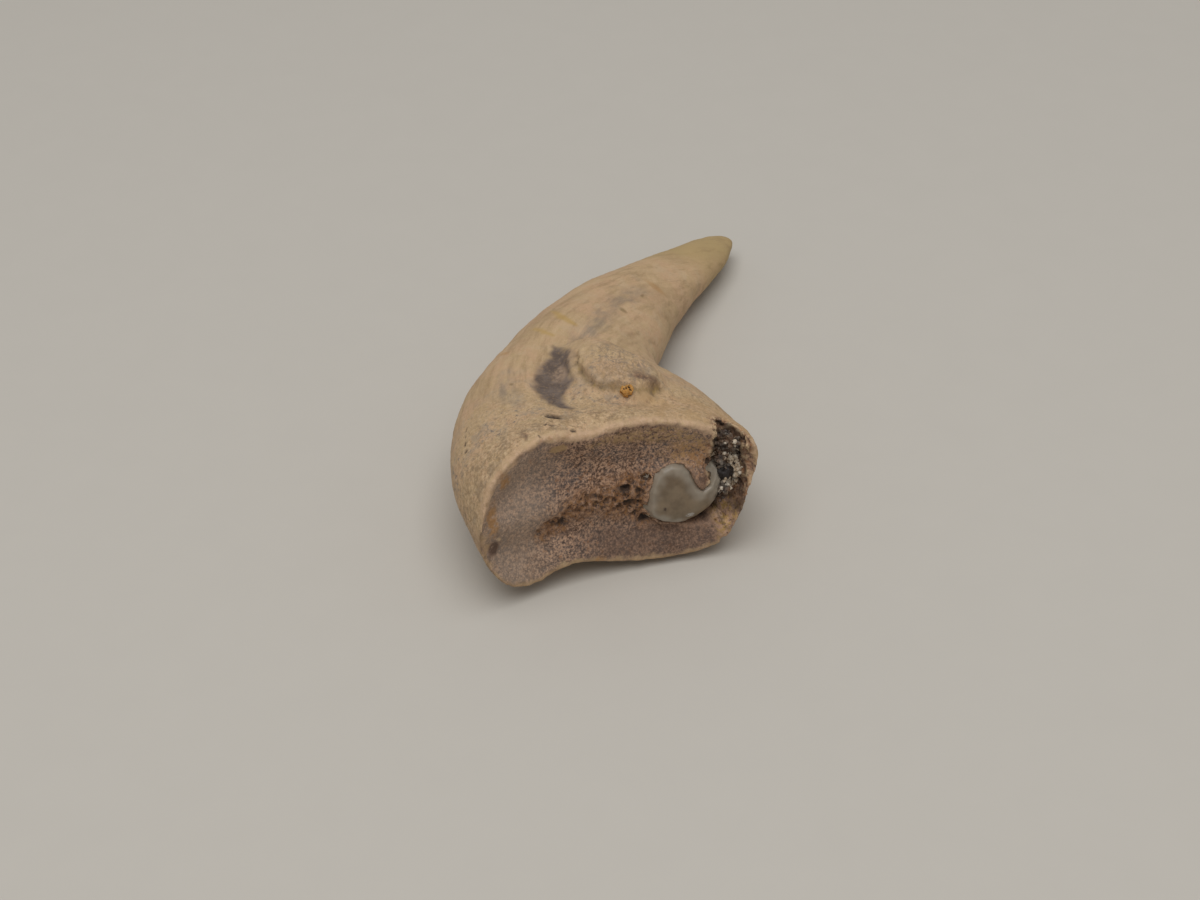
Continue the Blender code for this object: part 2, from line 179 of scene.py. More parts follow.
# The crease's dark olive line is partly painted shadow under the boss's overhanging edge.
BOSS_CREASE = (
    (10.3, -0.15, 0.0), (9.3, 0.1, 0.0), (7.2, 0.15, 0.02), (6.5, -0.2, 0.04), (5.85, -0.6, 0.06),
    (5.45, -1.2, 0.06), (5.15, -1.9, 0.05), (4.95, -2.8, 0.06), (5.1, -3.7, 0.07), (5.7, -4.4, 0.03),
)
BOSS_WRINKLES = ((7.9, -2.3), (3.2, 1.9))
BOSS_FOOT = ((6.5, -1.8), (0.9, 1.7))
BOSS_SPOT = ((5.95, -2.85, 0.2), (5.75, -3.45, 0.45), (5.85, -3.95, 0.25))
CRUMB_HOLLOW = ((4.65, -3.0), (0.4, 0.8))

# Fine cracks of the upper flank, as stops of (x, y, half width).
CRACKS = (
    ((6.2, 1.35, 0.0), (6.05, 1.1, 0.04), (6.35, 0.95, 0.03), (6.3, 0.8, 0.0)),
    ((6.35, 0.35, 0.04), (6.2, 0.3, 0.04)),
    ((5.05, -0.2, 0.0), (4.6, -0.1, 0.02), (4.3, -0.3, 0.03), (4.45, -0.6, 0.02), (4.95, -0.9, 0.0)),
    ((4.35, -3.0, 0.05), (4.25, -3.1, 0.05)),
    ((3.0, 0.9, 0.0), (2.7, 0.5, 0.03), (2.75, 0.0, 0.0)),
    ((2.6, 5.2, 0.0), (1.9, 5.4, 0.03), (1.5, 5.2, 0.03), (1.0, 5.35, 0.0)),
    ((2.2, -1.6, 0.0), (2.35, -2.4, 0.03), (2.15, -3.1, 0.0)),
    ((12.9, -2.2, 0.03), (12.6, -2.5, 0.03)),
)

# How much smaller than its solid the crumb is, along each axis of the claw.
CRUMB_SHRINK = (0.85, 0.66, 0.85)

# Small openings and cracks, as place (x, y, z), half length, half width, depth and turn in degrees.
DENTS = (
    ((3.25, 3.13, 5.05), 0.6, 0.32, 0.5, 27),
    ((1.33, 2.42, 5.0), 0.24, 0.1, 0.22, 81),
    ((2.21, 3.89, 5.2), 0.12, 0.08, 0.12, 20),
    ((1.9, 3.55, 5.25), 0.2, 0.05, 0.08, 60),
    ((7.24, 7.63, 2.6), 0.22, 0.06, 0.12, -10),
    ((6.5, 7.85, 2.6), 0.16, 0.06, 0.12, -10),
    ((5.7, 8.05, 2.55), 0.26, 0.08, 0.15, -12),
    ((4.9, 8.2, 2.5), 0.18, 0.06, 0.12, -8),
    ((0.95, 4.55, 5.2), 0.16, 0.06, 0.08, 30),
)


def paint(name, description, default):
    """A colour that the panel shows."""
    return FloatVectorProperty(name=name, description=description, default=default, subtype="COLOR")


def measure(name, description, default):
    """A length in metres that the panel shows."""
    return FloatProperty(name=name, description=description, default=default, unit="LENGTH")


def position(name, description, default):
    """A place in metres that the panel shows."""
    return FloatVectorProperty(name=name, description=description, default=default, subtype="TRANSLATION")


class BoneShape(bpy.types.PropertyGroup):
    """Sizes of the bone's fine relief."""

    cell: measure("Cell", "Size of the bone's mesh cells", 0.14 * MM)
    swell: measure("Swell", "Height of the bone's broad unevenness", 0.12 * MM)
    grain: measure("Grain", "Height of the joint face's grain", 0.13 * MM)
    sponge: measure("Sponge", "Depth of the spongy bone's cells", 0.5 * MM)
    pores: measure("Pores", "Depth of the flanks' pores", 0.1 * MM)


class BoneColours(bpy.types.PropertyGroup):
    """Colours of the bone."""

    tan: paint("Tan", "The flanks' ground colour", (0.51, 0.355, 0.2))
    pink: paint("Pink", "The flanks' pinkish patches", (0.55, 0.36, 0.215))
    cream: paint("Cream", "Worn ridges and the rim", (0.62, 0.45, 0.27))
    slate: paint("Slate", "Blue-grey mottling", (0.2, 0.175, 0.155))
    stain: paint("Stain", "The dark stain in the groove", (0.11, 0.08, 0.066))
    olive: paint("Olive", "Olive film of the tip and seams", (0.43, 0.31, 0.14))
    umber: paint("Umber", "The joint face's dark brown grain", (0.12, 0.07, 0.048))
    dusk: paint("Dusk", "The joint face's purple-grey grain", (0.14, 0.105, 0.09))
    clay: paint("Clay", "The joint face's pale grain", (0.54, 0.34, 0.225))
    ash: paint("Ash", "The joint face's grey end", (0.44, 0.34, 0.26))
    rust: paint("Rust", "The spongy bone's orange brown", (0.34, 0.16, 0.07))
    mauve: paint("Mauve", "The groove stain's paler part", (0.17, 0.13, 0.11))
    bark: paint("Bark", "Brown threads and blots of the flanks", (0.32, 0.21, 0.11))
    apricot: paint("Apricot", "Orange tint of the inner collar", (0.6, 0.38, 0.18))
    rose: paint("Rose", "The rim's pinkish cream", (0.6, 0.41, 0.27))
    honey: paint("Honey", "Ochre streaks of the flank", (0.47, 0.3, 0.09))
    # Seam: olive-brown, partly painted shadow along the boss's crease.
    seam: paint("Seam", "The olive crease of the boss", (0.17, 0.115, 0.045))
    film: paint("Film", "The olive-brown film under the rim", (0.42, 0.27, 0.13))
    golden: paint("Golden", "The golden-brown patch by the pebble", (0.46, 0.27, 0.12))
    orange: paint("Orange", "Rust stains along the rim", (0.4, 0.2, 0.06))
    # Soot also paints shade in the hollows and the pit.
    soot: paint("Soot", "The inside of pores and hollows", (0.03, 0.02, 0.016))


class StoneColours(bpy.types.PropertyGroup):
    """Colours of the pebble, the crystals and the ochre."""

    quartz: paint("Quartz", "The pebble's tint", (0.5, 0.38, 0.24))
    smoke: paint("Smoke", "The pebble's darker clouds", (0.33, 0.24, 0.145))
    pale: paint("Pale", "The pebble's pale edge", (0.85, 0.76, 0.62))
    # Glint: a painted highlight on the pebble's chip.
    glint: paint("Glint", "The pebble's fresh chip", (0.98, 0.95, 0.88))
    calcite: paint("Calcite", "The white crystals", (0.82, 0.74, 0.62))
    # Matrix: the dark crystals' colour, also painted on their bed as the voids' shade.
    matrix: paint("Matrix", "The dark crystals and their bed", (0.05, 0.036, 0.03))
    cream: paint("Cream", "The stained white crystals", (0.6, 0.47, 0.33))
    brown: paint("Brown", "The brown crystals", (0.13, 0.066, 0.034))
    nodule: paint("Nodule", "The black nodule among the crystals", (0.02, 0.014, 0.012))
    ochre: paint("Ochre", "The crumb of ochre", (0.48, 0.225, 0.045))
    amber: paint("Amber", "The crumb's paler grains", (0.58, 0.33, 0.11))
    # Hole: painted shade inside the crumb's holes.
    hole: paint("Hole", "The inside of the crumb's holes", (0.06, 0.03, 0.012))
    haze: paint("Haze colour", "The tint that the pebble gives to light through it", (0.8, 0.72, 0.56))
    haze_density: FloatProperty(name="Haze", description="How fast the pebble tints light", default=160.0)


class StageSettings(bpy.types.PropertyGroup):
    """The floor, the lights and the camera."""

    floor: paint("Floor", "The floor's colour", (0.56, 0.53, 0.48))
    key_power: FloatProperty(name="Key light", description="The light's power", default=1.2, unit="POWER")
    key_size: measure("Key light size", "The width of the soft light overhead", 0.4)
    key_place: position("Key light place", "Where the soft light stands", (-0.11, -0.03, 0.4))
    fill: FloatProperty(name="Fill", description="Strength of the light from all round", default=0.32)
    sky: paint("Fill colour", "Colour of the light from all round", (1.0, 0.98, 0.95))
    camera_place: position("Camera place", "Where the camera stands", (-0.107794, -0.042562, 0.085631))
    camera_aim: position("Camera aim", "The point that the camera looks at", (-0.009817, 0.000247, 0.005))
    camera_roll: FloatProperty(
        name="Camera roll", description="The camera's lean", default=math.radians(-2.594), unit="ROTATION"
    )
    lens: FloatProperty(name="Lens", description="The camera's lens in mm", default=64.512, unit="CAMERA")


# Tools for modelling


def deselect():
    """Select nothing."""
    bpy.ops.object.select_all(action="DESELECT")


def select_only(piece, *others):
    """Select a piece, which becomes the active one, and others with it, and nothing else."""
    deselect()
    for item in (piece, *others):
        item.select_set(True)
    bpy.context.view_layer.objects.active = piece


def apply(piece, kind, **settings):
    """Add a modifier with its settings and apply it."""
    select_only(piece)
    modifier = piece.modifiers.new(kind.title(), kind)
    for name, value in settings.items():
        setattr(modifier, name, value)
    bpy.ops.object.modifier_apply(modifier=modifier.name)


def copy_of_node(node, name):
    """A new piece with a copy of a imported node's mesh, its doubled points merged."""
    piece = bpy.data.objects.new(name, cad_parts[node].data.copy())
    bpy.context.scene.collection.objects.link(piece)
    piece.data.name = name
    piece.data.materials.clear()
    select_only(piece)
    bpy.ops.object.mode_set(mode="EDIT")
    bpy.ops.mesh.select_all(action="SELECT")
    bpy.ops.mesh.remove_doubles(threshold=0.0005 * MM)
    bpy.ops.mesh.normals_make_consistent(inside=False)
    bpy.ops.object.mode_set(mode="OBJECT")
    return piece


def add_claw_guide():
    """An empty in the claw's own frame, which the relief's patterns are measured in."""
    deselect()
    bpy.ops.object.empty_add()
    guide = bpy.context.object
    guide.name = "claw_guide"
    guide.matrix_world = CLAW_PLACE
    return guide


def pattern(kind, size):
    """A procedural texture with features of a size, in the units of the frame that it is measured in."""
    texture = bpy.data.textures.new(kind.lower(), kind)
    texture.noise_scale = size
    return texture


def clouds(size, depth, kind="SOFT_NOISE"):
    """A cloudy texture, finer by each step of depth."""
    texture = pattern("CLOUDS", size)
    texture.noise_depth = depth
    texture.noise_type = kind
    return texture


def pits(size, width):
    """A texture that is white but for round black pits, each a share of the cell size wide."""
    texture = pattern("VORONOI", size)
    texture.use_color_ramp = True
    floor, level = texture.color_ramp.elements
    floor.color = (0, 0, 0, 1)
    floor.position = width * 0.25
    level.color = (1, 1, 1, 1)
    level.position = width
    return texture


def raise_relief(piece, *reliefs):
    """Push the surface out or in by each relief's texture and height in turn, where its mask allows.

    A texture of pits is white at the surface's own level, and others are grey there.
    """
    guide = add_claw_guide()
    for texture, height, *masks in reliefs:
        apply(
            piece,
            "DISPLACE",
            texture=texture,
            texture_coords="OBJECT",
            texture_coords_object=guide,
            strength=height,
            mid_level=1.0 if texture.use_color_ramp else 0.5,
            vertex_group=masks[0] if masks else "",
        )
    bpy.data.objects.remove(guide)


# Places on the claw


def smooth(low, high, values):
    """0 below low and 1 above high, with a smooth step between; low may be the larger."""
    share = np.clip((values - low) / (high - low), 0.0, 1.0)
    return share * share * (3 - 2 * share)


def mesh_vectors(collection, name):
    """The vectors of a mesh's collection as rows of an array."""
    values = np.empty(len(collection) * 3)
    collection.foreach_get(name, values)
    return values.reshape(-1, 3)


def claw_places(mesh):
    """The mesh's points in the claw's own frame."""
    inverse = np.array(CLAW_PLACE.inverted())
    return mesh_vectors(mesh.vertices, "co") @ inverse[:3, :3].T + inverse[:3, 3]


def claw_normals(mesh):
    """The mesh's normals in the claw's own frame."""
    turn = np.array(Euler(CLAW_TURN).to_matrix())
    return mesh_vectors(mesh.vertex_normals, "vector") @ turn


def waver(places, size, shift=0.0):
    """Smooth noise from about -1 to 1 at each place, with features of a size in millimetres."""
    return np.array([noise.noise(place) for place in (places / size + shift).tolist()])


def strip_distance(points, stops):
    """Each point's distance to a strip given by stops of (place, place, half width), negative inside it."""
    nearest = np.full(len(points), np.inf)
    for first, second in zip(stops, stops[1:]):
        start, run = np.array(first[:2]), np.array(second[:2]) - np.array(first[:2])
        share = np.clip((points - start) @ run / (run @ run), 0, 1)
        gap = np.linalg.norm(points - start - share[:, None] * run, axis=1)
        nearest = np.minimum(nearest, gap - first[2] - share * (second[2] - first[2]))
    return nearest


def patch_distance(points, outline):
    """Each point's distance to a closed outline, negative inside it."""
    inside = np.zeros(len(points), bool)
    for start, end in zip(outline, outline[1:] + outline[:1]):
        if start[1] != end[1]:
            slope = (end[0] - start[0]) / (end[1] - start[1])
            crosses = (start[1] > points[:, 1]) != (end[1] > points[:, 1])
            inside ^= crosses & (points[:, 0] < start[0] + (points[:, 1] - start[1]) * slope)
    nearest = strip_distance(points, [(*corner, 0.0) for corner in (*outline, outline[0])])
    return np.where(inside, -nearest, nearest)


def oval(points, centre, radii, turn=0.0):
    """Each point's distance from an oval's centre, 1 at its edge."""
    offset = points - np.array(centre)
    along = offset[:, 0] * math.cos(turn) + offset[:, 1] * math.sin(turn)
    across = offset[:, 1] * math.cos(turn) - offset[:, 0] * math.sin(turn)
    return np.hypot(along / radii[0], across / radii[1])


def rim_points(bone):
    """Points along the sharp rim of the joint face."""
    work = bmesh.new()
    work.from_mesh(bone.data)
    inverse = CLAW_PLACE.inverted()
    points = []
    for edge in work.edges:
        ends = [inverse @ vertex.co for vertex in edge.verts]
        middle = (ends[0] + ends[1]) / 2
        in_pit = sum(((middle[i] - PIT_CENTRE[i]) / PIT_RADII[i]) ** 2 for i in range(3)) < RIM_OFF_PIT
        by_pebble = (middle - Vector(PEBBLE_CENTRE)).length < RIM_OFF_PEBBLE
        if middle.x < RIM_REACH and edge.calc_face_angle(0) > RIM_ANGLE and not in_pit and not by_pebble:
            points.extend(ends[0].lerp(ends[1], share / 4) for share in range(5))
    work.free()
    return points


def rim_distance(places, normals, rim):
    """The distance to the joint's rim, negative on the joint face."""
    tree = kdtree.KDTree(len(rim))
    for index, point in enumerate(rim):
        tree.insert(point, index)
    tree.balance()
    gap = np.array([tree.find(place)[2] for place in places.tolist()])
    on_face = (normals[:, 0] < FACE_SLOPE) & (places[:, 0] < FACE_REACH)
    return np.where(on_face, -gap, gap)


def pebble_distance(places):
    """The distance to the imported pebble's surface."""
    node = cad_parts["quartz_pebble"].data
    inverse = CLAW_PLACE.inverted()
    corners = [inverse @ vertex.co for vertex in node.vertices]
    tree = BVHTree.FromPolygons(corners, [tuple(face.vertices) for face in node.polygons])
    return np.array([tree.find_nearest(place)[3] for place in places.tolist()])


def hollowness(mesh, passes):
    """How far each point lies below its neighbours, in millimetres, averaged over some passes."""
    ends = np.empty(len(mesh.edges) * 2, np.int64)
    mesh.edges.foreach_get("vertices", ends)
    first, second = ends.reshape(-1, 2).T
    count = np.bincount(ends, minlength=len(mesh.vertices))[:, None]

    def neighbour_mean(values):
        total = np.zeros_like(values)
        for axis in range(values.shape[1]):
            total[:, axis] += np.bincount(first, values[second, axis], len(values))
            total[:, axis] += np.bincount(second, values[first, axis], len(values))
        return total / count

    places = mesh_vectors(mesh.vertices, "co")
    spread = places
    for _ in range(passes):
        spread = neighbour_mean(spread)
    rise = ((spread - places) * mesh_vectors(mesh.vertex_normals, "vector")).sum(axis=1) / MM
    return neighbour_mean(rise[:, None])[:, 0]


def bone_masks(mesh, rim):
    """Where each kind of surface lies on the bone, as a share from 0 to 1 at each point."""
    places = claw_places(mesh)
    normals = claw_normals(mesh)
    along, across, up = places.T
    flank, joint = places[:, :2], places[:, 1:]
    ragged = waver(places, 0.7, 5.0)
    broad = waver(places, 2.6, 17.0)
    fringe = 0.3 * ragged + 0.12 * waver(places, 0.3, 9.0)
    edge = rim_distance(places, normals, rim)
    pit_depth = np.linalg.norm((places - PIT_CENTRE) / PIT_RADII, axis=1)
    near_pit = smooth(1.5, 1.1, pit_depth + 0.1 * ragged)
    pit = smooth(1.16, 1.04, pit_depth)
    face = smooth(-0.1, -0.5, edge + fringe) * (1 - pit)
    front = smooth(2.0, 1.0, along)
    upper = smooth(0.1, 0.5, normals[:, 2]) * (1 - face)
    broken = near_pit * smooth(5.0, 2.0, along)

    def strips(points, soft, wander, *paths):
        """Where any of some strips lies, with a soft and wandering edge."""
        gaps = [strip_distance(points, path) + wander * ragged + wander * broad for path in paths]
        return np.max([smooth(soft, -soft, gap) for gap in gaps], axis=0)

    def blots(points, *ovals):
        """Where any of some ragged ovals lies."""
        return np.max([smooth(1.3, 0.5, oval(points, *shape) + 0.3 * ragged) for shape in ovals], axis=0)

    on_face = {
        "grey_end": smooth(2.0, 6.0, across + broad),
        "low": smooth(-1.2, -3.0, up + broad) * smooth(3.5, 0.0, across),
        "keel": strips(joint, 0.6, 0.45, KEEL_STRIP),
        "film": strips(joint, 0.3, 0.2, FILM_BAND),
        "golden": blots(joint, GOLDEN_PATCH),
        "tongue": blots(joint, TONGUE),
        "dot": smooth(1.3, 0.6, oval(joint, *WHITE_DOT)),
        "socket": smooth(0.8, 0.3, pebble_distance(places)) * smooth(-4.2, -5.4, across),
    }
    on_front = {
        # Painted shade under the rim's overhang.
        "undercut_shade": strips(joint, 0.16, 0.06, *UNDERCUT_SHADES),
        "flake": smooth(1.1, 0.9, oval(joint, *FLAKE) + 0.15 * ragged),
        "rust": blots(joint, *RUST_STAINS) * smooth(0.4, 0.1, edge),
        "brown": blots(joint, BROWN_STAIN),
    }
    on_flank = {
        "stain": smooth(0.25, -0.3, patch_distance(flank, STAIN_OUTLINE) + 0.8 * fringe),
        "stain_middle": blots(flank, STAIN_MIDDLE),
        "groove_shade": strips(flank, 0.7, 0.35, *GROOVE_SHADE_STREAKS),
        "ochre": strips(flank, 0.2, 0.1, *OCHRE_STREAKS),
        "blade_spot": blots(flank, *BLADE_SPOTS),
        "dark_spot": blots(flank, *DARK_SPOTS),
        "boss": smooth(1.15, 0.85, oval(flank, BOSS_CENTRE, BOSS_RADII, BOSS_TURN)),
        "crease": strips(flank, 0.24, 0.08, BOSS_CREASE) * smooth(10.5, 8.0, along),
        "wrinkles": blots(flank, BOSS_WRINKLES),
        "crack": strips(flank, 0.12, 0.06, *CRACKS),
        "spot": strips(flank, 0.35, 0.12, BOSS_SPOT),
        "boss_foot": blots(flank, BOSS_FOOT),
        "crumb_hollow": blots(flank, CRUMB_HOLLOW),
    }
    return {
        "face": face,
        "pit": pit,
        "broken": broken,
        "sponge": broken * smooth(0.3, 1.0, strip_distance(joint, OUTER_WALL)),
        "sandy": smooth(-0.9, -1.8, up + broad),
        "rim": smooth(-0.55, -0.2, edge + fringe) * smooth(0.6, 0.1, edge + fringe) * (1 - pit),
        # The share of height, which brightens the rim's pale band on top as painted light.
        "high": smooth(-1.5, 1.5, up),
        "lip": np.exp(-((edge / 0.35) ** 2)) * (1 - near_pit) * (0.4 + 0.6 * smooth(-2.5, 0.0, up)),
        "worn_edge": np.exp(-((edge / 0.45) ** 2)) * (1 - near_pit),
        "flank": smooth(0.1, 0.5, edge) * (1 - near_pit),
        # Painted shade: the flank near the rim is darkened on its lower side.
        "under": smooth(1.6, 0.2, edge) * smooth(-0.5, -2.0, up) * (1 - face),
        "tip": smooth(26.0, 30.0, along + 1.5 * broad),
        "mottle": smooth(12.0, 3.0, along) * smooth(0.2, 0.8, edge),
        "neck": smooth(4.2, 2.4, along - 0.35 * np.maximum(-across, 0)) * smooth(0.3, 0.8, edge),
        "collar": smooth(-1.0, -3.5, across) * smooth(6.5, 4.0, along) * smooth(0.2, 0.7, edge),
        **{name: share * face for name, share in on_face.items()},
        **{name: share * front for name, share in on_front.items()},
        **{name: share * upper for name, share in on_flank.items()},
    }


def write_masks(piece, masks):
    """Keep each mask on the piece as an attribute, which its colours read."""
    for name, values in masks.items():
        layer = piece.data.attributes.get(name) or piece.data.attributes.new(name, "FLOAT", "POINT")
        layer.data.foreach_set("value", np.ascontiguousarray(values, dtype=np.float32))


def write_fibre_places(piece):
    """Keep each point's place along the claw's curve, across it and up, which the fibres' patterns read."""
    places = claw_places(piece.data)
    offset = places[:, :2] - np.array(CURVE_CENTRE)
    along = CURVE_RADIUS * np.arctan2(offset[:, 0], offset[:, 1])
    curved = np.column_stack((along, np.hypot(offset[:, 0], offset[:, 1]), places[:, 2]))
    layer = piece.data.attributes.new("fibre_place", "FLOAT_VECTOR", "POINT")
    layer.data.foreach_set("vector", curved.ravel().astype(np.float32))


def write_group(piece, name, values):
    """Keep a mask as a vertex group, which holds the relief back."""
    group = piece.vertex_groups.new(name=name)
    for index in np.flatnonzero(values > 0.002).tolist():
        group.add([index], float(values[index]), "REPLACE")


def shape_boss(piece):
    """Sink the crease round the boss's foot and raise the boss's edge beside it."""
    places = claw_places(piece.data)
    upper = smooth(0.1, 0.5, claw_normals(piece.data)[:, 2])
    gap = strip_distance(places[:, :2], BOSS_CREASE) + 0.1 * waver(places, 0.7, 5.0)
    inside = smooth(1.1, 0.95, oval(places[:, :2], BOSS_CENTRE, BOSS_RADII, BOSS_TURN))
    crease = np.exp(-((np.maximum(gap, 0) / 0.17) ** 2))
    edge = np.exp(-(((gap - 0.4) / 0.35) ** 2)) * inside
    move_along_normals(piece.data, (0.1 * edge - 0.18 * crease) * upper * MM)


def press_dents(piece, face):
    """Press the flank's openings and cracks and the joint face's hollows in. Returns how far in each lies."""
    places = claw_places(piece.data)
    depth = np.zeros(len(places))
    share_in = np.zeros(len(places))
    for centre, length, width, deep, turn in DENTS:
        offset = places - np.array(centre)
        along = offset[:, 0] * math.cos(math.radians(turn)) + offset[:, 1] * math.sin(math.radians(turn))
        aside = np.sqrt(np.maximum((offset**2).sum(axis=1) - along**2, 0))
        reach = np.hypot(along / length, aside / width)
        depth = np.maximum(depth, deep * smooth(1.3, 0.3, reach))
        share_in = np.maximum(share_in, smooth(1.35, 0.75, reach))
    ragged = waver(places, 0.4, 7.0)
    for centre, radii in KEEL_HOLLOWS:
        sunk = smooth(1.5, 0.4, oval(places[:, 1:], centre, radii) + 0.8 * ragged) * face
        depth = np.maximum(depth, 0.15 * sunk)
        share_in = np.maximum(share_in, 0.7 * sunk)
    move_along_normals(piece.data, -depth * MM)
    return share_in


def move_along_normals(mesh, heights):
    """Move each point out by its own height."""
    places = mesh_vectors(mesh.vertices, "co")
    places += mesh_vectors(mesh.vertex_normals, "vector") * heights[:, None]
    mesh.vertices.foreach_set("co", places.ravel())
    mesh.update()


def set_claw_places(mesh, places):
    """Put the mesh's points at places given in the claw's own frame."""
    matrix = np.array(CLAW_PLACE)
    mesh.vertices.foreach_set("co", (places @ matrix[:3, :3].T + matrix[:3, 3]).ravel())
    mesh.update()


def keep_above_floor(mesh):
    """Lift what lies below the floor onto it."""
    places = mesh_vectors(mesh.vertices, "co")
    places[:, 2] = np.maximum(places[:, 2], 0.0)
    mesh.vertices.foreach_set("co", places.ravel())
    mesh.update()


# Materials


class Value:
    """A number that varies over a surface. An expression on it adds its Math nodes."""

    def __init__(self, finish, socket):
        self.finish = finish
        self.socket = socket

    def __add__(self, other):
        return self.finish.math("ADD", self, other)

    def __sub__(self, other):
        return self.finish.math("SUBTRACT", self, other)

    def __rsub__(self, other):
        return self.finish.math("SUBTRACT", other, self)

    def __mul__(self, other):
        return self.finish.math("MULTIPLY", self, other)

    __radd__ = __add__
    __rmul__ = __mul__


class Finish:
    """A material in the making: its patterns lie in the claw's own frame, its palette holds its colours."""

    def __init__(self, name, palette=None):
        self.palette = palette
        self.material = bpy.data.materials.new(name)
        self.material.use_nodes = True
        self.tree = self.material.node_tree
        self.shader = self.tree.nodes["Principled BSDF"]
        place = self.node("ShaderNodeTexCoord", {}, {}, "Object")
        claw = {"Location": JOINT_CENTRE, "Rotation": CLAW_TURN, "Scale": (MM, MM, MM)}
        self.place = self.node("ShaderNodeMapping", {"vector_type": "TEXTURE"}, {"Vector": place, **claw})

    def node(self, kind, settings, inputs, output=0):
        """Add a node with its settings, then the values or links of its sockets."""
        node = self.tree.nodes.new(kind)
        for name, value in settings.items():
            setattr(node, name, value)
        self.feed(node, inputs)
        return Value(self, node.outputs[output])

    def feed(self, node, inputs):
        """Link each varying value to its socket and set the others."""
        for name, value in inputs.items():
            if isinstance(value, Value):
                self.tree.links.new(value.socket, node.inputs[name])
            else:
                node.inputs[name].default_value = value

    def math(self, operation, *values):
        """A Math node of two values."""
        return self.node("ShaderNodeMath", {"operation": operation}, dict(enumerate(values)))

    def noise(self, size, detail=3.0, roughness=0.55, shift=0.0, stretch=1.0, distortion=0.0, place=None):
        """Noise from 0 to 1 with features of a size in millimetres, drawn out along its first axis."""
        scale = (1 / (size * stretch), 1 / size, 1 / size)
        spread = {"Vector": place or self.place, "Scale": scale, "Location": (shift, shift, shift)}
        look = {"Scale": 1.0, "Detail": detail, "Roughness": roughness, "Distortion": distortion}
        place = self.node("ShaderNodeMapping", {}, spread)
        return self.node("ShaderNodeTexNoise", {}, {"Vector": place, **look})

    def steps(self, value, low, high):
        """0 below low and 1 above high, with a smooth step between."""
        ends = {"From Min": low, "From Max": high}
        return self.node("ShaderNodeMapRange", {"interpolation_type": "SMOOTHSTEP"}, {"Value": value, **ends})

    def mask(self, name):
        """The share that the piece's points hold under a name."""
        return self.node("ShaderNodeAttribute", {"attribute_name": name}, {}, "Fac")

    def fibres(self, size, length, detail, roughness, shift):
        """Noise drawn out along the claw's curve."""
        place = self.node("ShaderNodeAttribute", {"attribute_name": "fibre_place"}, {}, "Vector")
        return self.noise(size, detail, roughness, shift, length, place=place)

    def mix(self, share, low, high):
        """A colour between two colours."""
        colours = {6: self.colour(low), 7: self.colour(high)}
        return self.node("ShaderNodeMix", {"data_type": "RGBA"}, {0: share, **colours}, 2)

    def blots(self, name, value, low, high, share):
        """A share of what a mask holds, where a pattern steps from low to high."""
        return self.mask(name) * self.steps(value, low, high) * share

    def coats(self, ground, *coats):
        """Lay coats over a ground colour, each given by its share and its colour."""
        for share, colour in coats:
            ground = self.mix(share, ground, colour)
        return ground

    def colour(self, colour):
        """A varying colour, a colour or the name of one of the palette's, as a socket takes it."""
        if isinstance(colour, Value):
            return colour
        return (*(getattr(self.palette, colour) if isinstance(colour, str) else colour), 1.0)

    def bump(self, height, distance):
        """A normal bent by a height from 0 to 1, of a distance in millimetres."""
        return self.node("ShaderNodeBump", {}, {"Height": height, "Distance": distance * MM})

    def done(self, inputs):
        """Feed the shader and hand over the material."""
        self.feed(self.shader, inputs)
        return self.material


def add_face_grain(finish):
    """The colour of the joint face's grain: purple brown, with pinkish and orange granules."""
    steps = finish.steps
    grit = finish.noise(0.12, 2, 0.6, 4.0)
    fine = finish.noise(0.22, 3, 0.75, 1.5)
    granule = finish.noise(0.3, 3, 0.7, 8.0)
    cluster = finish.noise(0.9, 3, 0.6, 6.0)
    cloud = finish.noise(2.4, 3, 0.6, 3.0)
    return finish.coats(
        "umber",
        (steps(cloud, 0.4, 0.6), "dusk"),
        (steps(fine * 0.6 + grit * 0.4 + cluster * 0.15, 0.5, 0.7), "clay"),
        (steps(granule, 0.55, 0.7) * 0.6, "rust"),
        (steps(grit * 0.5 + fine * 0.5, 0.47, 0.36) * 0.55, "soot"),
    )


